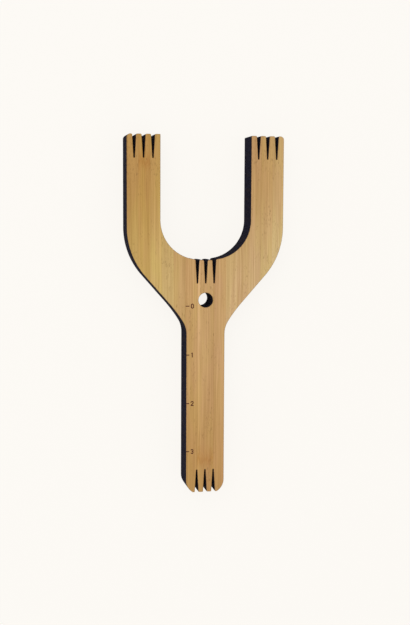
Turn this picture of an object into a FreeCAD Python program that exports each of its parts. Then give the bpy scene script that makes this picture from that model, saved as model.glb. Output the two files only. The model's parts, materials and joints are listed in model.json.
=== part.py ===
import FreeCAD, Part
import math
import os

# A hand tool for making pom-poms, cut by laser from one board of laminated bamboo.
# Yarn is wound across two parallel arms. The slots in the arm tips, in the floor of the opening
# between the arms and in the handle's end hold the yarn ends, and the ruler on the handle
# measures tassels.
#
# Nothing on it moves. The separate pieces are the bamboo strips, as deep as the board is
# thick, that are glued side by side with their grain along the tool. The laser then cuts
# through all of them, so the board is shaped first here and is split along its glue lines after.
#
# The tool lies flat: z = 0 is the back face, the engraved front face is up, +Y runs from the
# handle's end to the arm tips, and x = 0 is the middle of the handle. Units are millimetres.

# ---------------------------------------------------------------- the board
overall_length = 185.4
overall_width = 81.8
board_thickness = 15.9
edge_bevel = 0.3                # sanded edge, all round both faces
glue_line_margin = 0.6          # glue lines keep this far outside the handle and inside the arms' gap

# ---------------------------------------------------------------- the arms and the flanks
arm_width = 17.2
arm_straight_length = 47.0      # the arm's outer side, from its tip to where it bends inwards
arm_outer_corner_radius = 1.9
arm_inner_corner_radius = 0.4
shoulder_radius = 37.6          # outside bend from the arm to the flank
flank_angle = 41.4              # degrees between the straight flank and the handle's side
hollow_radius = 70.0            # long, slight bend below the straight flank
hollow_turn = 9.4               # degrees that it turns through
neck_radius = 12.2              # tight bend from there to the handle

# ---------------------------------------------------------------- the opening between the arms
opening_depth = 63.75           # arm tips to the lowest point of its floor
opening_corner_offset = 3.4     # middle of the tool to the centre of each corner's circle
opening_floor_radius = 39.2

# ---------------------------------------------------------------- the handle
handle_width = 20.1
handle_end_width = 12.8         # straight part of the end, between the two rounded corners
handle_corner_radius = 7.3

# ---------------------------------------------------------------- the slots and their teeth
slots_in_group = 3
slot_depth = 12.0
slot_mouth_width = 2.0
slot_root_width = 0.6
arm_slot_pitch = 4.8
centre_slot_pitch = 4.4         # floor of the opening and handle end
tooth_tip_radius = 0.7
handle_tooth_tip_radius = 0.4

# ---------------------------------------------------------------- the through hole
hole_radius = 3.8
hole_below_opening = 20.65      # floor of the opening to the hole's centre

# ---------------------------------------------------------------- the engraved ruler
ruler_zero_below_opening = 23.65
ruler_inch = 25.4
engraving_depth = 0.25
engraving_line = 0.5            # width of every engraved line
tick_length = 1.55
tick_to_digit = 0.65
digit_width = 1.65
digit_height = 2.6

# ---------------------------------------------------------------- places that follow from these
up = FreeCAD.Vector(0, 0, 1)
tip_y = overall_length / 2
end_y = -overall_length / 2
side_x = overall_width / 2
arm_inner_x = side_x - arm_width
arm_centre_x = side_x - arm_width / 2
opening_corner_radius = arm_inner_x - opening_corner_offset
handle_x = handle_width / 2
neck_turn = flank_angle - hollow_turn           # degrees that the tight bend turns through
opening_floor_y = tip_y - opening_depth
hole_y = opening_floor_y - hole_below_opening
ruler_zero_y = opening_floor_y - ruler_zero_below_opening
pen_width = digit_width - engraving_line        # a digit, measured along the middle of its lines
pen_height = digit_height - engraving_line
half_span = (slots_in_group - 1) / 2            # slot pitches from a group's middle to its last slot
cutter_overrun = 2.0            # how far each cutting shape reaches past the face it cuts

# ---------------------------------------------------------------- names of the strips
# The core strip fills the middle of the handle, from the line of one outer slot to the other.
# On each side of it follow one strip for the rest of the handle, then these, outwards.
bridge_strips = ("neck", "shoulder")                        # from the handle to the arm
arm_strips = ("arm_inner", "arm_middle", "arm_outer")


def at(x, y, z=0.0):
    return FreeCAD.Vector(x, y, z)


def on_circle(centre, radius, degrees):
    turn = math.radians(degrees)
    return centre + at(radius * math.cos(turn), radius * math.sin(turn))


def line(start, end):
    return Part.LineSegment(start, end).toShape()


def arc(centre, radius, first, last):
    """The arc of a circle between two angles in degrees, in the plane of the board."""
    middle = (first + last) / 2
    points = [on_circle(centre, radius, angle) for angle in (first, middle, last)]
    return Part.Arc(*points).toShape()


# ---------------------------------------------------------------- outline of the board

def handle_end_edges():
    """Half of the handle's end, its rounded corner and its side up to the neck."""
    corner_inset = handle_x - handle_end_width / 2
    centre_to_end = handle_corner_radius - corner_inset
    corner_height = math.sqrt(handle_corner_radius**2 - centre_to_end**2)
    centre = at(handle_x - handle_corner_radius, end_y + corner_height)
    first = -math.degrees(math.atan2(corner_height, centre_to_end))
    return [
        line(at(0, end_y), at(handle_end_width / 2, end_y)),
        arc(centre, handle_corner_radius, first, 0),
        line(at(handle_x, centre.y), at(handle_x, neck_centre().y)),
    ]


def shoulder_centre():
    return at(side_x - shoulder_radius, tip_y - arm_straight_length)


def flank_top():
    return on_circle(shoulder_centre(), shoulder_radius, -flank_angle)


def flank_foot():
    """Where the straight flank ends, as far out as the two bends below it reach."""
    slope = math.radians(flank_angle)
    turn = math.radians(neck_turn)
    reach = neck_radius * (1 - math.cos(turn)) + hollow_radius * (math.cos(turn) - math.cos(slope))
    foot_x = handle_x + reach
    return at(foot_x, flank_top().y - (flank_top().x - foot_x) / math.tan(slope))


def hollow_centre():
    return on_circle(flank_foot(), hollow_radius, -flank_angle)


def neck_centre():
    """The neck's circle touches the handle's side and, from inside, the hollow's circle."""
    return on_circle(hollow_centre(), hollow_radius - neck_radius, 180 - neck_turn)


def flank_edges():
    """The neck, the hollow, the straight flank and the shoulder, up to the arm's straight side."""
    return [
        arc(neck_centre(), neck_radius, 180, 180 - neck_turn),
        arc(hollow_centre(), hollow_radius, 180 - neck_turn, 180 - flank_angle),
        line(flank_foot(), flank_top()),
        arc(shoulder_centre(), shoulder_radius, -flank_angle, 0),
    ]


def opening_edges():
    """The arm's inner side and half of the opening's floor, a flat arch of three circles."""
    floor_centre = at(0, opening_floor_y + opening_floor_radius)
    between_centres = opening_floor_radius - opening_corner_radius
    lean = math.degrees(math.asin(opening_corner_offset / between_centres))
    corner_centre = on_circle(floor_centre, between_centres, lean - 90)
    return [
        line(at(arm_inner_x, tip_y), at(arm_inner_x, corner_centre.y)),
        arc(corner_centre, opening_corner_radius, 0, lean - 90),
        arc(floor_centre, opening_floor_radius, lean - 90, -90),
    ]


def arm_edges():
    """The arm's outer side and its tip."""
    return [
        line(at(side_x, shoulder_centre().y), at(side_x, tip_y)),
        line(at(side_x, tip_y), at(arm_inner_x, tip_y)),
    ]


def plain_board():
    """The whole outline at full thickness, with no slots, hole or engraving."""
    right = handle_end_edges() + flank_edges() + arm_edges() + opening_edges()
    left = [edge.mirror(at(0, 0), at(1, 0)) for edge in right]
    outline = Part.Wire(Part.sortEdges(right + left)[0])
    return Part.Face(outline).extrude(up * board_thickness)


# ---------------------------------------------------------------- slots and hole

def slot_cutter(mouth_x, mouth_y, inwards):
    """A tapered slot with a round root. inwards is -1 where it runs towards -Y, and 1 towards +Y."""
    root_radius = slot_root_width / 2
    mouth_half = slot_mouth_width / 2
    root_centre_depth = slot_depth - root_radius
    to_root = math.hypot(mouth_half, root_centre_depth)
    lean = math.atan2(mouth_half, root_centre_depth) - math.asin(root_radius / to_root)
    wall_x = root_radius * math.cos(lean)
    wall_depth = root_centre_depth + root_radius * math.sin(lean)
    outer_half = mouth_half + cutter_overrun * math.tan(lean)

    def place(x, depth):
        return at(mouth_x + x, mouth_y + inwards * depth)

    root = Part.Arc(place(wall_x, wall_depth), place(0, slot_depth), place(-wall_x, wall_depth))
    outline = Part.Wire([
        line(place(outer_half, -cutter_overrun), place(wall_x, wall_depth)),
        root.toShape(),
        line(place(-wall_x, wall_depth), place(-outer_half, -cutter_overrun)),
        line(place(-outer_half, -cutter_overrun), place(outer_half, -cutter_overrun)),
    ])
    return Part.Face(outline).extrude(up * board_thickness)


def slot_group(centre_x, mouth_y, inwards, pitch):
    return [
        slot_cutter(centre_x + (index - half_span) * pitch, mouth_y, inwards)
        for index in range(slots_in_group)
    ]


def all_slots():
    cutters = slot_group(-arm_centre_x, tip_y, -1, arm_slot_pitch)
    cutters += slot_group(arm_centre_x, tip_y, -1, arm_slot_pitch)
    cutters += slot_group(0, opening_floor_y, -1, centre_slot_pitch)
    cutters += slot_group(0, end_y, 1, centre_slot_pitch)
    return cutters


def through_hole():
    return Part.makeCylinder(hole_radius, board_thickness, at(0, hole_y), up)


# ---------------------------------------------------------------- rounded corners and bevelled rims

def wall_direction(face, point):
    u, v = face.Surface.parameter(point)
    return face.normalAt(u, v)


def sharp_upright_edges(board):
    """The upright edges where two walls meet at a corner instead of running on smoothly."""
    smooth = math.cos(math.radians(3))
    found = []
    for edge in board.Edges:
        if abs(edge.BoundBox.ZLength - board_thickness) > 1e-6:
            continue
        if max(edge.BoundBox.XLength, edge.BoundBox.YLength) > 1e-6:
            continue
        middle = edge.CenterOfMass
        walls = board.ancestorsOfType(edge, Part.Face)
        first, second = [wall_direction(wall, middle) for wall in walls]
        if first.dot(second) < smooth:
            found.append(edge)
    return found


def round_at(board, radius, x=None, y=None):
    """Round the sharp upright edges at a distance x from the middle, or on a line y, or both."""
    reach = slot_mouth_width
    chosen = []
    for edge in sharp_upright_edges(board):
        middle = edge.CenterOfMass
        beside = x is None or abs(abs(middle.x) - x) < 1e-4
        if beside and abs(middle.y - y) < reach:
            chosen.append(edge)
    return board.makeFillet(radius, chosen)


def round_corners(board):
    """Round the arms' corners and the tips of all teeth, each no more than its tooth has room for."""
    arm_tooth = arm_slot_pitch - slot_mouth_width
    arm_edge_tooth = (arm_width - slot_mouth_width) / 2 - half_span * arm_slot_pitch
    centre_tooth = centre_slot_pitch - slot_mouth_width
    handle_edge_tooth = (handle_end_width - slot_mouth_width) / 2 - half_span * centre_slot_pitch

    arm_tip = min(tooth_tip_radius, arm_tooth / 2, arm_edge_tooth / 3)
    floor_tip = min(tooth_tip_radius, centre_tooth / 2)
    handle_tip = min(handle_tooth_tip_radius, centre_tooth / 2, 0.8 * handle_edge_tooth)
    outer_corner = min(arm_outer_corner_radius, arm_edge_tooth - arm_tip)

    board = round_at(board, outer_corner, x=side_x, y=tip_y)
    board = round_at(board, arm_inner_corner_radius, x=arm_inner_x, y=tip_y)
    board = round_at(board, arm_tip, y=tip_y)
    board = round_at(board, floor_tip, y=opening_floor_y)
    return round_at(board, handle_tip, y=end_y)


def face_edges(board):
    """Every edge that bounds the flat front face or the flat back face."""
    return [edge for edge in board.Edges if edge.BoundBox.ZLength < 1e-6]


def shaped_board():
    board = plain_board().cut(all_slots())
    board = round_corners(board.removeSplitter())
    board = board.cut(through_hole())
    return board.makeChamfer(edge_bevel, face_edges(board))


# ---------------------------------------------------------------- engraved lines and digits
# A groove is the shape that one burnt line, with its round ends, takes out of the front face.

def groove(outline):
    return Part.Face(Part.Wire(outline)).extrude(up * (engraving_depth + cutter_overrun))


def groove_line(start, end):
    half = engraving_line / 2
    heading = math.degrees(math.atan2(end.y - start.y, end.x - start.x))
    left, right = heading + 90, heading - 90
    return groove([
        line(on_circle(start, half, right), on_circle(end, half, right)),
        arc(end, half, right, left),
        line(on_circle(end, half, left), on_circle(start, half, left)),
        arc(start, half, left, left + 180),
    ])


def groove_arc(centre, radius, first, last):
    half = engraving_line / 2
    return groove([
        arc(centre, radius + half, first, last),
        arc(on_circle(centre, radius, last), half, last, last + 180),
        arc(centre, radius - half, last, first),
        arc(on_circle(centre, radius, first), half, first + 180, first + 360),
    ])


# Each digit draws its lines with pen(x, y), where x runs from 0 to pen_width and y from 0,
# the digit's foot, to pen_height.

def digit_0(pen):
    bowl = pen_width / 2
    return [
        groove_arc(pen(bowl, pen_height - bowl), bowl, 0, 180),
        groove_arc(pen(bowl, bowl), bowl, 180, 360),
        groove_line(pen(0, bowl), pen(0, pen_height - bowl)),
        groove_line(pen(pen_width, bowl), pen(pen_width, pen_height - bowl)),
    ]


def digit_1(pen):
    stem = pen_width / 2
    flag = pen_width / 4
    return [
        groove_line(pen(stem, 0), pen(stem, pen_height)),
        groove_line(pen(stem, pen_height), pen(stem - flag, pen_height - flag)),
    ]


def digit_2(pen):
    bowl = pen_width / 2
    centre = pen(bowl, pen_height - bowl)
    turn = -35
    return [
        groove_arc(centre, bowl, turn, 170),
        groove_line(on_circle(centre, bowl, turn), pen(0, 0)),
        groove_line(pen(0, 0), pen(pen_width, 0)),
    ]


def digit_3(pen):
    bowl = pen_height / 4
    middle = pen_width - bowl
    return [
        groove_arc(pen(middle, pen_height - bowl), bowl, -90, 150),
        groove_arc(pen(middle, bowl), bowl, -150, 90),
    ]


def digit_4(pen):
    stem = 0.75 * pen_width
    bar = pen_height / 3
    return [
        groove_line(pen(stem, 0), pen(stem, pen_height)),
        groove_line(pen(stem, pen_height), pen(0, bar)),
        groove_line(pen(0, bar), pen(pen_width, bar)),
    ]


def digit_5(pen):
    bowl = pen_height / 3
    middle = pen_width - bowl
    return [
        groove_line(pen(pen_width, pen_height), pen(0, pen_height)),
        groove_line(pen(0, pen_height), pen(0, 2 * bowl)),
        groove_line(pen(0, 2 * bowl), pen(middle, 2 * bowl)),
        groove_arc(pen(middle, bowl), bowl, -140, 90),
    ]


digits = (digit_0, digit_1, digit_2, digit_3, digit_4, digit_5)


def inches_on_ruler():
    """Whole inches between the ruler's zero and the roots of the slots in the handle's end."""
    room = ruler_zero_y - (end_y + slot_depth)
    return min(int(room / ruler_inch), len(digits) - 1)


def ruler():
    """A tick on the handle's left side for each inch, with its number beside it."""
    floor_z = board_thickness - engraving_depth
    tick_end_x = -handle_x + tick_length - engraving_line / 2
    digit_x = -handle_x + tick_length + tick_to_digit + engraving_line / 2
    grooves = []
    for inch in range(inches_on_ruler() + 1):
        tick_y = ruler_zero_y - inch * ruler_inch
        foot_y = tick_y - pen_height / 2

        def pen(x, y):
            return at(digit_x + x, foot_y + y, floor_z)

        tick_start = at(-handle_x - edge_bevel, tick_y, floor_z)
        grooves += [groove_line(tick_start, at(tick_end_x, tick_y, floor_z))]
        grooves += digits[inch](pen)
    return grooves


# ---------------------------------------------------------------- the strips, glue line to glue line

def even_lines(low, high, strips):
    """Glue lines that share the width from low to high evenly. The last one, high, is left out."""
    return [low + (high - low) * index / strips for index in range(strips)]


def strip_spans():
    """Each strip's name with the two glue lines, or glue line and board's side, that it lies between."""
    core_line = half_span * centre_slot_pitch
    handle_line = handle_x + glue_line_margin
    arm_line = arm_inner_x - glue_line_margin
    lines = [core_line] + even_lines(handle_line, arm_line, len(bridge_strips))
    lines += even_lines(arm_line, side_x, len(arm_strips)) + [side_x + cutter_overrun]
    spans = {"core_strip": (-core_line, core_line)}
    for name, low, high in zip(("handle",) + bridge_strips + arm_strips, lines, lines[1:]):
        spans[f"left_{name}_strip"] = (-high, -low)
        spans[f"right_{name}_strip"] = (low, high)
    return spans


def strip(board, low_x, high_x):
    corner = at(low_x, end_y - cutter_overrun, -cutter_overrun)
    length = overall_length + 2 * cutter_overrun
    height = board_thickness + 2 * cutter_overrun
    piece = board.common(Part.makeBox(high_x - low_x, length, height, corner))
    return piece.Solids[0] if len(piece.Solids) == 1 else Part.makeCompound(piece.Solids)


board = shaped_board().cut(ruler())
os.makedirs("parts", exist_ok=True)
whole = 0.0
for name, span in strip_spans().items():
    piece = strip(board, *span)
    piece.exportStep(f"parts/{name}.step")
    whole += piece.Volume
    print(f"{name}: {len(piece.Solids)} solid, {piece.Volume:.0f} mm3, {len(piece.Faces)} faces")
print(f"all strips {whole:.1f} mm3, board {board.Volume:.1f} mm3")
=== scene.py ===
# %% [markdown]
# # A bamboo hand tool for pom-poms
#
# The real tool is one thick board, glued from thirteen strips of bamboo and cut out by a laser.
# The CAD frame already holds every strip, slot, bevel and engraved line at its real size, so
# nothing is modelled twice here. What is left is what a laser and a sander do to bamboo: fibres
# that run along the tool, strips of slightly different tone, burnt grooves, and side walls that
# the beam has turned to black, finely ribbed char.

import json
import math

import bmesh
import bpy
from mathutils import Euler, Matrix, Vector


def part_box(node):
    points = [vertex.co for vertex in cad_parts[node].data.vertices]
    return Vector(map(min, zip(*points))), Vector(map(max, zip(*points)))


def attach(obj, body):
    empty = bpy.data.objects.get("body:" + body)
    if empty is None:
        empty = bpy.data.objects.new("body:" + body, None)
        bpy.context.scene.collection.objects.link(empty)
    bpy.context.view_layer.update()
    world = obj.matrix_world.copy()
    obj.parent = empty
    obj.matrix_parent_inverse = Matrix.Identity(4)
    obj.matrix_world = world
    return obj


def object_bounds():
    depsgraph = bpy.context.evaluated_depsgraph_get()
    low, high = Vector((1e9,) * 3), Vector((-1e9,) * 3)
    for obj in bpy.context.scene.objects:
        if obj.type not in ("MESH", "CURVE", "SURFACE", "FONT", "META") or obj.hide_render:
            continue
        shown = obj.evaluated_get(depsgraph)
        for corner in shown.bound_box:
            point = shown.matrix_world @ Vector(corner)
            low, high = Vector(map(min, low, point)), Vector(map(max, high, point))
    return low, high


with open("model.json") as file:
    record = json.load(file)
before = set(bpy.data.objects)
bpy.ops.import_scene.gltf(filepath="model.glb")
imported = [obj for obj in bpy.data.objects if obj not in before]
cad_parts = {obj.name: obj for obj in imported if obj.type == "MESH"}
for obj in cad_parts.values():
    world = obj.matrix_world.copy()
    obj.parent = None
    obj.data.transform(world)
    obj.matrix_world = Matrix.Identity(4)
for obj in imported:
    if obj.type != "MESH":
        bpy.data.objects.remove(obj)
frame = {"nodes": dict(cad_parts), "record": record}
cad_low, cad_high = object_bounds()
MM = 0.001                      # one millimetre in Blender's metres
print(f"{len(frame['nodes'])} strips, {(cad_high.y - cad_low.y) / MM:.1f} mm long")

# %% [markdown]
# ## Camera
#
# The tool lies on its back with the engraved face up. A camera straight above it would hide all
# the side walls. This one hangs half a metre up and a little to the left of the arms, so the black
# wall shows along every left-hand edge. Its lens is fairly long, because a wide one would have to
# come nearer and would spread the parallel arms apart.

# %% Camera
aim = Vector((-0.40, 1.91, 15.9)) * MM          # a point on the front face, near its middle
camera_distance = 540.3 * MM
camera_turn = Euler([math.radians(angle) for angle in (-5.402, -11.459, 0.273)])

camera = bpy.data.objects.new("camera", bpy.data.cameras.new("camera"))
camera.data.sensor_width = 36.0
camera.data.lens = 60.21
camera.rotation_euler = camera_turn
camera.location = aim + camera_turn.to_matrix() @ Vector((0, 0, camera_distance))
bpy.context.scene.collection.objects.link(camera)
bpy.context.scene.camera = camera
print("camera at", [round(value / MM) for value in camera.location], "mm")

# %% [markdown]
# ## Nodes in one line each
#
# Materials and geometry trees are both made of nodes, and a pattern needs dozens of them. A small
# bench that adds a node, sets it and wires it keeps each pattern to a few readable lines. `feed`
# is the heart of it: it links a socket, or writes a plain value, whichever it is given.

# %% Node bench
class Bench:
    """Adds nodes to one tree and wires them."""

    def __init__(self, tree):
        self.tree = tree

    def feed(self, socket, value):
        if isinstance(value, bpy.types.NodeSocket):
            self.tree.links.new(value, socket)
        else:
            socket.default_value = value

    def add(self, kind, inputs=(), **settings):
        node = self.tree.nodes.new(kind)
        for name, value in settings.items():
            setattr(node, name, value)
        for key, value in dict(inputs).items():
            self.feed(node.inputs[key], value)
        return node

    def math(self, operation, *values, clamp=False):
        node = self.add("ShaderNodeMath", operation=operation, use_clamp=clamp)
        for socket, value in zip(node.inputs, values):
            self.feed(socket, value)
        return node.outputs[0]

    def vector(self, operation, *values):
        node = self.add("ShaderNodeVectorMath", operation=operation)
        for socket, value in zip(node.inputs, values):
            self.feed(socket, value)
        return node.outputs[0]

    def scaled(self, vector, factor):
        node = self.add("ShaderNodeVectorMath", {"Vector": vector, "Scale": factor}, operation="SCALE")
        return node.outputs[0]

    def step(self, value, low, high, to_low=0.0, to_high=1.0):
        """A soft step from to_low to to_high while value goes from low to high."""
        inputs = {"Value": value, "From Min": low, "From Max": high, "To Min": to_low, "To Max": to_high}
        return self.add("ShaderNodeMapRange", inputs, interpolation_type="SMOOTHSTEP").outputs[0]

    def mix(self, factor, first, second, blend="MIX"):
        node = self.add("ShaderNodeMix", data_type="RGBA", blend_type=blend)
        by_name = {socket.identifier: socket for socket in node.inputs}
        self.feed(by_name["Factor_Float"], factor)
        self.feed(by_name["A_Color"], first)
        self.feed(by_name["B_Color"], second)
        return next(socket for socket in node.outputs if socket.identifier == "Result_Color")

    def mix_values(self, factor, first, second):
        node = self.add("ShaderNodeMix", data_type="FLOAT")
        for socket, value in zip(node.inputs, (factor, None, first, second)):
            if value is not None:
                self.feed(socket, value)
        return node.outputs[0]

    def tint(self, colour, factor, multiplier):
        """Multiply a colour by another where factor is 1, and leave it where factor is 0."""
        return self.mix(factor, colour, (*multiplier, 1.0), blend="MULTIPLY")

    def noise(self, place, lump, detail=2.0):
        """Noise with lumps of the given three lengths. Mostly it lies between 0.25 and 0.75."""
        stretched = self.vector("DIVIDE", place, lump)
        inputs = {"Vector": stretched, "Scale": 1.0, "Detail": detail}
        return self.add("ShaderNodeTexNoise", inputs).outputs[0]

    def swing(self, place, lump, amount):
        """Noise that swings about 0, mostly by less than a quarter of amount."""
        return self.math("MULTIPLY", self.math("SUBTRACT", self.noise(place, lump), 0.5), amount)

    def total(self, *values, clamp=False):
        """All the values added up."""
        result = values[0]
        for index, value in enumerate(values[1:], start=2):
            result = self.math("ADD", result, value, clamp=clamp and index == len(values))
        return result

    def product(self, *values):
        """All the values multiplied."""
        result = values[0]
        for value in values[1:]:
            result = self.math("MULTIPLY", result, value)
        return result


def srgb(red, green, blue):
    """A colour as a paint program writes it, from 0 to 255, in the linear light that nodes use."""
    def linear(level):
        share = level / 255
        return share / 12.92 if share <= 0.04045 else ((share + 0.055) / 1.055) ** 2.4
    return (linear(red), linear(green), linear(blue), 1.0)


print("sample: mid grey is", round(srgb(128, 128, 128)[0], 3), "in linear light")

# %% [markdown]
# ## Studio
#
# A product table: a pale floor that runs out of sight, light from all round and one large lamp
# overhead. Together they reach a plain level, at which a colour renders about as it is written.
#
# The paper looks brighter than light alone would make it. Its material is mostly a plain pale
# colour that only the camera and reflections see, with a share of real paper mixed in, and that
# share is what still takes the tool's soft shadow.

# %% Floor
paper = srgb(253, 250, 245)
floor_reach = 4.0
shadow_share = 0.08             # how much of the floor is real, shaded paper


def seen_directly(bench):
    """1 for rays that show a surface to the camera, straight or in a reflection or through glass."""
    path = bench.add("ShaderNodeLightPath")
    rays = [path.outputs[name] for name in ("Is Camera Ray", "Is Glossy Ray", "Is Transmission Ray")]
    return bench.math("MAXIMUM", bench.math("MAXIMUM", rays[0], rays[1]), rays[2])


paper_finish = bpy.data.materials.new("paper")
paper_finish.use_nodes = True
bench = Bench(paper_finish.node_tree)
bench.tree.nodes.clear()
shaded = bench.add("ShaderNodeBsdfDiffuse", {"Color": paper})
bright = bench.add("ShaderNodeEmission", {"Color": paper, "Strength": 1.0})
brightness = bench.math("MULTIPLY", seen_directly(bench), 1.0 - shadow_share)
blend = bench.add("ShaderNodeMixShader", {0: brightness, 1: shaded.outputs[0], 2: bright.outputs[0]})
bench.add("ShaderNodeOutputMaterial", {"Surface": blend.outputs[0]})

floor_mesh = bpy.data.meshes.new("floor")
floor_z = cad_low.z - 0.02 * MM # a hair below the tool, so that the two surfaces don't coincide
corners = [(x * floor_reach, y * floor_reach, floor_z) for x, y in [(-1, -1), (1, -1), (1, 1), (-1, 1)]]
floor_mesh.from_pydata(corners, [], [(0, 1, 2, 3)])
floor_mesh.materials.append(paper_finish)
floor = bpy.data.objects.new("floor", floor_mesh)
bpy.context.scene.collection.objects.link(floor)
print(f"floor {2 * floor_reach:.0f} m wide")

# %% Light
world_level = 0.68
lamp_level = 0.36               # what the lamp adds to the light on the tool's face
lamp_height = 1.3
lamp_width = 1.1
lamp_place = Vector((-0.35, 0.45, lamp_height))

world = bpy.data.worlds.new("studio")
world.use_nodes = True
bench = Bench(world.node_tree)
bench.tree.nodes.clear()
around = bench.add("ShaderNodeBackground", {"Color": (1.0, 1.0, 1.0, 1.0), "Strength": world_level})
backdrop = bench.add("ShaderNodeBackground", {"Color": paper, "Strength": 1.0})
seen = seen_directly(bench)
blend = bench.add("ShaderNodeMixShader", {0: seen, 1: around.outputs[0], 2: backdrop.outputs[0]})
bench.add("ShaderNodeOutputWorld", {"Surface": blend.outputs[0]})
bpy.context.scene.world = world

lamp = bpy.data.objects.new("softbox", bpy.data.lights.new("softbox", "AREA"))
lamp.data.shape = "SQUARE"
lamp.data.size = lamp_width
lamp.data.energy = lamp_level * math.pi**2 * lamp_place.length_squared
lamp.location = lamp_place
lamp.rotation_euler = lamp_place.to_track_quat("Z", "Y").to_euler()
bpy.context.scene.collection.objects.link(lamp)
bpy.context.scene.view_settings.view_transform = "Standard"
print(f"softbox {lamp.data.energy:.1f} W")

# %% [markdown]
# ## Bamboo
#
# Bamboo isn't wood with rings. It is a bundle of straight fibres in a pale pith, packed densely
# under the stalk's skin and loosely inside it. Sawn into strips and glued, it shows long fine
# lines in every strip, each strip darker towards the side that was the skin, and here and there
# a knuckle, where the stalk had a joint and the fibres swirl.
#
# All of that is one solid pattern in Object coordinates, so it runs through the board, and the
# lines on a face carry on over its bevels. Noise does it, squeezed across the tool and stretched
# along it. The pattern lives in a node group that all thirteen strips share, and each strip brings
# its own numbers.

# %% The strips' tones
# The record gives three tones of bamboo. Before the handle and the arms darken along the tool, a
# strip is lighter or darker than its tone (shade), redder or greener (warmth) and yellower or greyer
# (gold). It has its skin on the left (0) or on the right (1). Near its other side it may show a line
# of pale pith, from none (0) to bright (1), and it may have a knuckle at some height along the tool.
NO_KNUCKLE = 500.0
strip_notes = {
    #                           shade  warmth  gold   skin side  pith line  knuckle at y, mm
    "core_strip":              (1.05,  0.10,  0.00,  1,         1.0,       -75.0),
    "left_handle_strip":       (1.01,  0.25,  0.35,  0,         0.0,       NO_KNUCKLE),
    "right_handle_strip":      (1.06,  0.25, -0.30,  0,         0.0,       NO_KNUCKLE),
    "left_neck_strip":         (0.92,  0.45,  0.45,  1,         0.0,       NO_KNUCKLE),
    "right_neck_strip":        (1.05,  0.00, -0.50,  1,         0.0,       NO_KNUCKLE),
    "left_shoulder_strip":     (1.13, -0.65,  0.55,  1,         0.0,       NO_KNUCKLE),
    "right_shoulder_strip":    (0.99,  0.20, -0.40,  0,         0.0,       NO_KNUCKLE),
    "left_arm_inner_strip":    (1.21, -0.90,  0.95,  0,         0.0,       NO_KNUCKLE),
    "right_arm_inner_strip":   (1.25, -0.85, -0.70,  1,         0.0,       NO_KNUCKLE),
    "left_arm_middle_strip":   (1.27, -1.00,  0.45,  1,         0.0,       79.0),
    "right_arm_middle_strip":  (1.31, -1.15, -0.35,  0,         0.0,       NO_KNUCKLE),
    "left_arm_outer_strip":    (1.28, -1.15,  0.05,  0,         0.0,       NO_KNUCKLE),
    "right_arm_outer_strip":   (1.30, -1.05, -0.80,  0,         0.0,       NO_KNUCKLE),
}
print(len(strip_notes), "strips described")

# %% A node group for bamboo
def new_group(name, inputs, outputs, kind="ShaderNodeTree"):
    """An empty node group with named sockets, each given as name: (type, default or None)."""
    tree = bpy.data.node_groups.new(name, kind)
    for label, (socket_type, default) in inputs.items():
        socket = tree.interface.new_socket(label, in_out="INPUT", socket_type=f"NodeSocket{socket_type}")
        if default is not None:
            socket.default_value = default
    for label, (socket_type, _) in outputs.items():
        tree.interface.new_socket(label, in_out="OUTPUT", socket_type=f"NodeSocket{socket_type}")
    return tree, tree.nodes.new("NodeGroupInput").outputs, tree.nodes.new("NodeGroupOutput").inputs


strip_inputs = {
    "Tone": ("Color", None), "Seed": ("Float", 0.0), "Left glue line": ("Float", 0.0),
    "Right glue line": ("Float", 1.0), "Skin side": ("Float", 0.0), "Pith line": ("Float", 0.0),
    "Knuckle": ("Float", NO_KNUCKLE),
}
bamboo, given, result = new_group(
    "bamboo", strip_inputs,
    {"Color": ("Color", None), "Roughness": ("Float", None), "Height": ("Float", None)},
)
bench = Bench(bamboo)

# Where on the tool, in millimetres, and moved by the seed so that no two strips are alike.
seed_step = (37.1, 91.7, 53.3)
place = bench.scaled(bench.add("ShaderNodeTexCoord").outputs["Object"], 1 / MM)
x, y, _ = bench.add("ShaderNodeSeparateXYZ", {0: place}).outputs
seeded = bench.vector("ADD", place, bench.scaled(seed_step, given["Seed"]))
print(len(strip_inputs), "inputs for each strip")

# %% How the fibres run
# Every lump of noise is given as its size in millimetres: across the tool, along it and through it.
knuckle_outline = (2.0, 9.0, 2.0)
knuckle_unevenness = 10.0
knuckle_reach = 7.0             # how far from a knuckle the fibres swirl
slow_bend = (14.0, 70.0, 14.0)
tight_bend = (2.2, 5.0, 2.2)
slow_wander = 2.5
tight_wander = 3.0

# Fibres wander a little sideways, and swirl round a knuckle.
from_knuckle = bench.math("SUBTRACT", y, given["Knuckle"])
uneven = bench.swing(seeded, knuckle_outline, knuckle_unevenness)
ring_distance = bench.math("ABSOLUTE", bench.total(from_knuckle, uneven))
swirl = bench.step(ring_distance, knuckle_reach, 0.5)
sideways = bench.total(bench.swing(seeded, slow_bend, slow_wander),
                       bench.product(bench.swing(seeded, tight_bend, tight_wander), swirl))
grain = bench.vector("ADD", seeded, bench.add("ShaderNodeCombineXYZ", {0: sideways}).outputs[0])

# Fibres lie denser towards the skin's side of the strip.
width = bench.math("SUBTRACT", given["Right glue line"], given["Left glue line"])
across = bench.math("DIVIDE", bench.math("SUBTRACT", x, given["Left glue line"]), width)
density = bench.mix_values(given["Skin side"], bench.math("SUBTRACT", 1.0, across), across)
print(len(bamboo.nodes), "nodes so far")

# %% Streaks
band_lump = (2.2, 110.0, 3.0)
bundle_lump = (0.55, 45.0, 0.55)
fibre_lump = (0.20, 22.0, 0.20)
band_strength = 0.9
bundle_strength = 1.9
fibre_strength = 1.3
density_strength = 0.30
pale_pith = (1.13, 1.14, 1.14)          # what the fibres multiply a strip's tone by, from here
dense_fibre = (0.87, 0.83, 0.74)        # to here

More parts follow.
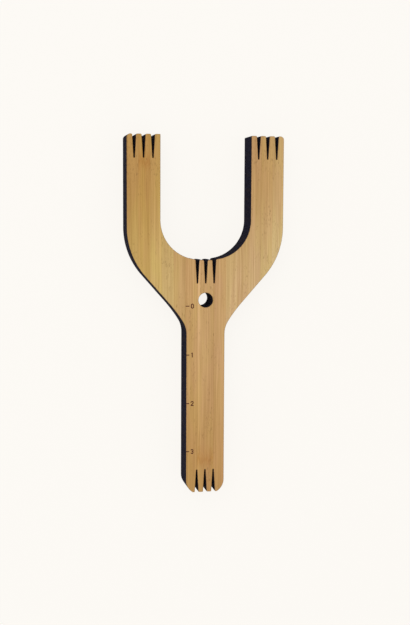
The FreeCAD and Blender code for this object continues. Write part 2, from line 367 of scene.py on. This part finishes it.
# Three sizes of streak, from broad bands down to single fibres.
bundles = bench.noise(grain, bundle_lump)
fibres = bench.noise(grain, fibre_lump, detail=1.0)
shade = bench.total(
    0.5, bench.swing(grain, band_lump, band_strength),
    bench.product(bench.math("SUBTRACT", bundles, 0.5), bundle_strength),
    bench.product(bench.math("SUBTRACT", fibres, 0.5), fibre_strength),
    bench.product(bench.math("SUBTRACT", density, 0.5), density_strength), clamp=True)
streaks = bench.mix(shade, (*pale_pith, 1.0), (*dense_fibre, 1.0))
colour = bench.mix(1.0, given["Tone"], streaks, blend="MULTIPLY")
print("three sizes of streak:", *(f"{lump[0]} mm" for lump in (band_lump, bundle_lump, fibre_lump)))

# %% Drifts, pith and threads
drift_lump = (5.0, 34.0, 5.0)
yellow_drift = (0.99, 1.01, 0.92)       # slow drifts of hue along a strip
pink_drift = (1.01, 0.985, 1.03)
pith_depth = 0.9                        # from the glue line to the middle of the pith line
pith_reach = 0.9                        # from there to where it fades out
pith_tint = (1.22, 1.25, 1.32)
thread_lump = (0.34, 26.0, 0.34)
thread_strength = 0.8
thread_tint = (0.80, 0.74, 0.64)

drift = bench.step(bench.noise(seeded, drift_lump), 0.35, 0.65)
drifts = bench.mix(drift, (*yellow_drift, 1.0), (*pink_drift, 1.0))
colour = bench.mix(1.0, colour, drifts, blend="MULTIPLY")

# A line of pith lies a little way in from the side away from the skin.
from_pith = bench.math("ABSOLUTE", bench.math("SUBTRACT", bench.product(density, width), pith_depth))
pith_line = bench.product(bench.step(from_pith, pith_reach, 0.0), given["Pith line"])
colour = bench.tint(colour, pith_line, pith_tint)

# Dark threads are a few centimetres long.
threads = bench.step(bench.noise(grain, thread_lump, detail=1.0), 0.62, 0.74)
colour = bench.tint(colour, bench.product(threads, thread_strength), thread_tint)
print(len(bamboo.nodes), "nodes so far")

# %% Flecks and knuckle
fleck_lump = (0.32, 2.2, 0.32)
patch_lump = (5.0, 16.0, 5.0)
fleck_strength = 0.8
fleck_tint = (0.62, 0.58, 0.52)
smudge_strength = 0.6
core_strength = 0.35
core_reach = 1.8
knuckle_tint = (0.90, 0.78, 0.60)

# Short flecks lie in loose patches.
fleck = bench.step(bench.noise(grain, fleck_lump, detail=1.0), 0.62, 0.70)
patch = bench.step(bench.noise(seeded, patch_lump), 0.48, 0.60)
flecks = bench.product(fleck, patch)
colour = bench.tint(colour, bench.product(flecks, fleck_strength), fleck_tint)

# The knuckle is a warm smudge, darkest along its middle.
colour = bench.tint(colour, bench.product(swirl, smudge_strength), knuckle_tint)
knuckle_core = bench.step(ring_distance, core_reach, 0.0)
colour = bench.tint(colour, bench.product(knuckle_core, core_strength), knuckle_tint)
print("flecks", fleck_lump[1], "mm long")

# %% Glue lines, the handle's wear and the arms' darkening
glue_reach = 0.16                       # from the glue line to where its shade has gone
glue_patch = (3.0, 25.0, 3.0)
glue_tint = (0.78, 0.70, 0.58)
handle_tint = (0.87, 0.79, 0.64)        # where hands have darkened the handle's end
arm_tint = (0.84, 0.73, 0.60)           # darker from the opening's floor up to the arms' tips

# A glue line shows here and there.
to_left = bench.math("ABSOLUTE", bench.math("SUBTRACT", x, given["Left glue line"]))
to_right = bench.math("ABSOLUTE", bench.math("SUBTRACT", x, given["Right glue line"]))
glue = bench.step(bench.math("MINIMUM", to_left, to_right), glue_reach, 0.04)
starved = bench.step(bench.noise(seeded, glue_patch), 0.42, 0.60, 0.15, 0.9)
colour = bench.tint(colour, bench.product(glue, starved), glue_tint)

# The handle darkens towards its end, and the arms from the opening's floor up to their tips.
colour = bench.tint(colour, bench.step(y, -5.0, -95.0), handle_tint)
colour = bench.tint(colour, bench.step(y, 15.0, 75.0), arm_tint)

bench.feed(result["Color"], colour)
bench.feed(result["Roughness"], bench.step(bundles, 0.3, 0.7, 0.50, 0.62))
relief = bench.total(bench.product(fibres, 0.5), bench.product(bundles, 0.5), bench.product(flecks, -0.8))
bench.feed(result["Height"], relief)
print(len(bamboo.nodes), "nodes in the bamboo pattern")

# %% [markdown]
# ## Burns
#
# The laser does three things. It turns every side wall to char, it browns the edge of the bevel
# next to a wall, and it burns the ruler's lines to a dark brown. Which of them a point belongs to
# is read from the surface itself: a wall's normal lies flat, a bevel's is tilted, and a groove
# lies just below the face.

# %% Burn pattern
# Dark char, with a painted bluish sheen in its colour.
char_and_painted_sheen = srgb(33, 31, 41)
scorch_colour = srgb(88, 58, 36)
engraved_colour = srgb(90, 32, 0)
face_z = cad_high.z / MM
groove_depth = 0.25             # millimetres
bevel_depth = 0.3
scorch_lump = (0.7, 0.7, 3.0)
scorch_unevenness = 0.9

burns, given, result = new_group(
    "burns",
    {"Color": ("Color", None), "Roughness": ("Float", 0.5)},
    {"Color": ("Color", None), "Roughness": ("Float", None)},
)
bench = Bench(burns)
coordinates = bench.add("ShaderNodeTexCoord").outputs
place = bench.scaled(coordinates["Object"], 1 / MM)
z = bench.add("ShaderNodeSeparateXYZ", {0: place}).outputs["Z"]
normal_z = bench.add("ShaderNodeSeparateXYZ", {0: coordinates["Normal"]}).outputs["Z"]
tilt = bench.math("ABSOLUTE", normal_z)         # 1 on a face, 0 on a wall and between on a bevel
below_face = bench.math("SUBTRACT", face_z, z)

# A bevel is clean but for its lower edge, where the scorch of the wall shows through.
into_bevel = bench.math("DIVIDE", bench.math("MINIMUM", below_face, z), bevel_depth)
uneven = bench.swing(place, scorch_lump, scorch_unevenness)
bevel = bench.product(bench.step(tilt, 0.40, 0.60), bench.step(tilt, 0.95, 0.80))
scorch = bench.product(bevel, bench.step(bench.total(into_bevel, uneven), 0.45, 1.0))
colour = bench.mix(scorch, given["Color"], scorch_colour)

# Walls take the dark char, whose colour carries a painted bluish sheen.
wall = bench.step(tilt, 0.60, 0.40)
colour = bench.mix(wall, colour, char_and_painted_sheen)

# A groove is brown on its floor and up its own low walls. The bevel lies at the same depth.
in_groove = bench.product(bench.step(below_face, 0.1 * groove_depth, 0.3 * groove_depth),
                          bench.step(below_face, 2 * groove_depth, 1.5 * groove_depth))
engraved = bench.product(in_groove, bench.math("SUBTRACT", 1.0, bevel))
colour = bench.mix(engraved, colour, engraved_colour)
bench.feed(result["Color"], colour)
bench.feed(result["Roughness"], bench.total(given["Roughness"], bench.product(wall, 0.1)))
print(len(burns.nodes), "nodes in the burn pattern")

# %% Finish the strips
relief_depth = 0.03 * MM
satin = 0.3                     # how strongly bare sanded bamboo shines
tones = {entry["slot"]: entry["base_color"] for entry in frame["record"]["materials"]}
tone_of_strip = {entry["node"]: tones[entry["material_slot"]] for entry in frame["record"]["subparts"]}


def strip_tone(name, shade, warmth, gold):
    """The strip's tone from the record, lighter or darker, redder or greener, and more golden."""
    red, green, blue = tone_of_strip[name][:3]
    return (red * shade * (1 + 0.1 * warmth), green * shade, blue * shade * (1 - 0.2 * gold), 1.0)


def strip_finish(name, seed):
    """The material of one bamboo strip."""
    shade, warmth, gold, skin_side, pith_line, knuckle = strip_notes[name]
    low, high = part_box(name)
    material = bpy.data.materials.new(f"{name}_bamboo")
    material.use_nodes = True
    bench = Bench(material.node_tree)
    bench.tree.nodes.clear()
    pattern = bench.add("ShaderNodeGroup", node_tree=bamboo)
    values = {
        "Tone": strip_tone(name, shade, warmth, gold), "Seed": float(seed), "Skin side": float(skin_side),
        "Left glue line": low.x / MM, "Right glue line": high.x / MM, "Pith line": pith_line,
        "Knuckle": knuckle,
    }
    for label, value in values.items():
        pattern.inputs[label].default_value = value
    burnt = bench.add("ShaderNodeGroup", node_tree=burns)
    bench.feed(burnt.inputs["Color"], pattern.outputs["Color"])
    bench.feed(burnt.inputs["Roughness"], pattern.outputs["Roughness"])
    bump = bench.add("ShaderNodeBump", {"Height": pattern.outputs["Height"], "Distance": relief_depth})
    surface = bench.add("ShaderNodeBsdfPrincipled", {
        "Base Color": burnt.outputs["Color"], "Roughness": burnt.outputs["Roughness"],
        "Normal": bump.outputs["Normal"], "Specular IOR Level": satin,
    })
    bench.add("ShaderNodeOutputMaterial", {"Surface": surface.outputs[0]})
    return material


for seed, name in enumerate(strip_notes):
    strip = frame["nodes"][name]
    strip.data.materials.clear()
    strip.data.materials.append(strip_finish(name, seed))
print(len(strip_notes), "strips finished")

# %% [markdown]
# ## Charred walls
#
# The beam doesn't leave a smooth wall. It steps along its path, and each step leaves a fine
# upright rib in the char, a little deeper towards the back face, where the smoke escapes. The
# ribs follow the cut all round the board, through every slot and round the hole, nearly nine
# tenths of a metre in all. What follows a path by a rule is a job for Geometry Nodes: they sweep
# a thin skin along the laser's path and push its points in and out.
#
# The path itself is read from the frame. Every edge where a wall meets the upper bevel lies on
# it, and the strips' edges join up into two closed loops, the outline and the hole. Each edge is
# turned so that wood is on its left, which tells the skin where outside is.

# %% The laser's path
bevel_height = bevel_depth * MM
rim_z = cad_high.z - bevel_height
centre_z = (cad_low.z + cad_high.z) / 2
join_distance = 0.005 * MM      # strips meet on their glue lines to within this
up = Vector((0, 0, 1))


def directed_edges(board):
    """Each rim edge as start: end, in millimetres, with the wood on its left."""
    onward = {}
    for edge in board.edges:
        if any(abs(vertex.co.z - rim_z) > join_distance for vertex in edge.verts):
            continue
        wall = min(edge.link_faces, key=lambda face: abs(face.normal.z))
        start, end = [vertex.co for vertex in edge.verts]
        if (end - start).cross(up).dot(wall.normal) < 0:
            start, end = end, start
        onward[(start.x, start.y)] = (end.x, end.y)
    return onward


def closed_loops(onward):
    """Chain the directed edges into loops of points."""
    loops = []
    while onward:
        first, point = onward.popitem()
        loop = [first]
        while point != first:
            loop.append(point)
            point = onward.pop(point)
        loops.append(loop)
    return sorted(loops, key=len, reverse=True)


board = bmesh.new()
for node in frame["nodes"].values():
    board.from_mesh(node.data)
bmesh.ops.remove_doubles(board, verts=board.verts, dist=join_distance)
board.normal_update()
laser_path = bpy.data.curves.new("laser_path", "CURVE")
laser_path.dimensions = "3D"
for loop in closed_loops(directed_edges(board)):
    spline = laser_path.splines.new("POLY")
    spline.points.add(len(loop) - 1)
    for point, (x, y) in zip(spline.points, loop):
        point.co = (x, y, centre_z, 1.0)
    spline.use_cyclic_u = True
    print(f"loop of {len(loop)} points")
board.free()

# %% Numbers of the skin
skin_inputs = {
    "Geometry": ("Geometry", None),
    "Step": ("Float", 0.2 * MM),                # between two rings of the skin's points
    "Height": ("Float", rim_z - cad_low.z - bevel_height),
    "Thickness": ("Float", 0.25 * MM),          # nearly all of it lies in the wood
    "Swell": ("Float", 0.03 * MM),              # how far it stands out, half way up
    "Rib pitch": ("Float", 0.45 * MM),
    "Rib depth": ("Float", 0.05 * MM),          # at the back face, where it is greatest
    "Rings": ("Int", 7),                        # rows of points up the wall, between its edges
    "Seed": ("Int", 5),
    "Finish": ("Material", None),
}
ribbed_skin, given, result = new_group(
    "ribbed_skin", skin_inputs, {"Geometry": ("Geometry", None)}, kind="GeometryNodeTree")
bench = Bench(ribbed_skin)
print(len(skin_inputs), "inputs for the skin")

# %% Sweep along the path
outer_side = 3.0                # the number of the box's side that faces away from the wood

path = bench.add("GeometryNodeResampleCurve", {"Curve": given["Geometry"], "Length": given["Step"]},
                 mode="LENGTH")
path = bench.add("GeometryNodeSetCurveNormal", {"Curve": path.outputs[0]}, mode="Z_UP")
travelled = bench.add("GeometryNodeSplineParameter").outputs["Length"]
outwards = bench.vector("CROSS_PRODUCT", bench.add("GeometryNodeInputTangent").outputs[0], tuple(up))
notes = bench.add("GeometryNodeCaptureAttribute", domain="POINT")
notes.capture_items.new("FLOAT", "Travelled")
notes.capture_items.new("VECTOR", "Outwards")
for key, value in {"Geometry": path.outputs[0], "Travelled": travelled, "Outwards": outwards}.items():
    bench.feed(notes.inputs[key], value)

# The profile is a thin upright box. Only its outer side is divided.
box = bench.add("GeometryNodeCurvePrimitiveQuadrilateral",
                {"Width": given["Thickness"], "Height": given["Height"]})
is_outer = bench.math("COMPARE", bench.add("GeometryNodeInputIndex").outputs[0], outer_side, 0.5)
cuts = bench.math("MULTIPLY", is_outer, given["Rings"])
profile = bench.add("GeometryNodeSubdivideCurve", {"Curve": box.outputs[0], "Cuts": cuts})
skin = bench.add("GeometryNodeCurveToMesh",
                 {"Curve": notes.outputs["Geometry"], "Profile Curve": profile.outputs[0]})
print(len(ribbed_skin.nodes), "nodes sweep the skin")

# %% Push the ribs in and out
fade_power = 8.0                # the higher, the nearer to the edges the swell and the ribs fade out

# Depth below the skin's top edge, from 0 to 1, and a fade towards both edges.
position = bench.add("GeometryNodeInputPosition").outputs[0]
height_here = bench.add("ShaderNodeSeparateXYZ", {0: position}).outputs["Z"]
above_centre = bench.math("DIVIDE", bench.math("SUBTRACT", height_here, centre_z), given["Height"])
depth = bench.math("SUBTRACT", 0.5, above_centre)
from_middle = bench.math("ABSOLUTE", bench.math("SUBTRACT", bench.math("MULTIPLY", depth, 2.0), 1.0))
fade = bench.math("SUBTRACT", 1.0, bench.math("POWER", from_middle, fade_power))

# Ribs: noise along the path that hardly changes up the wall, half as deep at the top edge.
rib_place = bench.add("ShaderNodeCombineXYZ", {
    "X": bench.math("DIVIDE", notes.outputs["Travelled"], given["Rib pitch"]),
    "Y": depth,
    "Z": given["Seed"],
}).outputs[0]
rib = bench.math("SUBTRACT", bench.noise(rib_place, (1.0, 1.0, 1.0), detail=1.0), 0.5)
share = bench.math("ADD", 0.5, bench.math("MULTIPLY", depth, 0.5))
ribs = bench.product(rib, 2.0, bench.product(given["Rib depth"], share))

# Half its thickness into the wood, the skin's outer side lies on the wall. From there, the swell
# pushes the skin out, and the ribs move it in and out.
push = bench.math("MULTIPLY", bench.math("ADD", given["Swell"], ribs), fade)
push = bench.math("SUBTRACT", push, bench.math("MULTIPLY", given["Thickness"], 0.5))
offset = bench.scaled(notes.outputs["Outwards"], push)
ribbed = bench.add("GeometryNodeSetPosition", {"Geometry": skin.outputs[0], "Offset": offset})
real = bench.add("GeometryNodeRealizeInstances", {"Geometry": ribbed.outputs[0]})
finished = bench.add("GeometryNodeSetMaterial", {"Geometry": real.outputs[0], "Material": given["Finish"]})
bench.feed(result["Geometry"], finished.outputs[0])
print(len(ribbed_skin.nodes), "nodes in the ribbed skin")

# %% Char finish
# Char hardly shines. Fine ribs run on top of the swept ones, with painted highlight on their tops,
# painted shade between them and a painted bluish sheen, and smoke has left broad brown stains.
soot_and_painted_shade = srgb(21, 20, 30)
soot_and_painted_highlight = srgb(42, 41, 55)
smoke_stain = srgb(50, 42, 42)
fine_rib_lump = (0.14, 0.14, 7.0)
fine_rib_depth = 0.04 * MM
stain_lump = (1.5, 1.5, 12.0)
faint_shine = 0.003

char_finish = bpy.data.materials.new("char")
char_finish.use_nodes = True
bench = Bench(char_finish.node_tree)
bench.tree.nodes.clear()
place = bench.scaled(bench.add("ShaderNodeTexCoord").outputs["Object"], 1 / MM)
fine_ribs = bench.noise(place, fine_rib_lump)
stains = bench.noise(place, stain_lump)
# Painted highlight on the fine ribs' tops and painted shade in the soot between them.
colour = bench.mix(bench.step(fine_ribs, 0.35, 0.65), soot_and_painted_shade, soot_and_painted_highlight)
colour = bench.mix(bench.step(stains, 0.45, 0.75, 0.0, 0.5), colour, smoke_stain)
bump = bench.add("ShaderNodeBump", {"Height": fine_ribs, "Distance": fine_rib_depth})
surface = bench.add("ShaderNodeBsdfPrincipled", {
    "Base Color": colour, "Roughness": bench.step(fine_ribs, 0.3, 0.7, 0.65, 0.85),
    "Normal": bump.outputs["Normal"], "Specular IOR Level": faint_shine,
})
bench.add("ShaderNodeOutputMaterial", {"Surface": surface.outputs[0]})
print(len(char_finish.node_tree.nodes), "nodes in the char")


# %% Charred walls
def made_by_nodes(name, source, tree, values):
    """Run a geometry tree on a curve or mesh and keep the result as a plain mesh object."""
    holder = bpy.data.objects.new(f"{name}_source", source)
    bpy.context.scene.collection.objects.link(holder)
    modifier = holder.modifiers.new(name, "NODES")
    modifier.node_group = tree
    sockets = [item for item in tree.interface.items_tree if item.in_out == "INPUT"]
    identifiers = {socket.name: socket.identifier for socket in sockets}
    for label, value in values.items():
        modifier[identifiers[label]] = value
    evaluated = holder.evaluated_get(bpy.context.evaluated_depsgraph_get())
    mesh = bpy.data.meshes.new_from_object(evaluated)
    bpy.data.objects.remove(holder)
    mesh.name = name
    piece = bpy.data.objects.new(name, mesh)
    bpy.context.scene.collection.objects.link(piece)
    return piece


charred_walls = made_by_nodes("charred_walls", laser_path, ribbed_skin, {"Finish": char_finish})
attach(charred_walls, "root")
print(f"charred walls: {len(charred_walls.data.polygons)} faces")
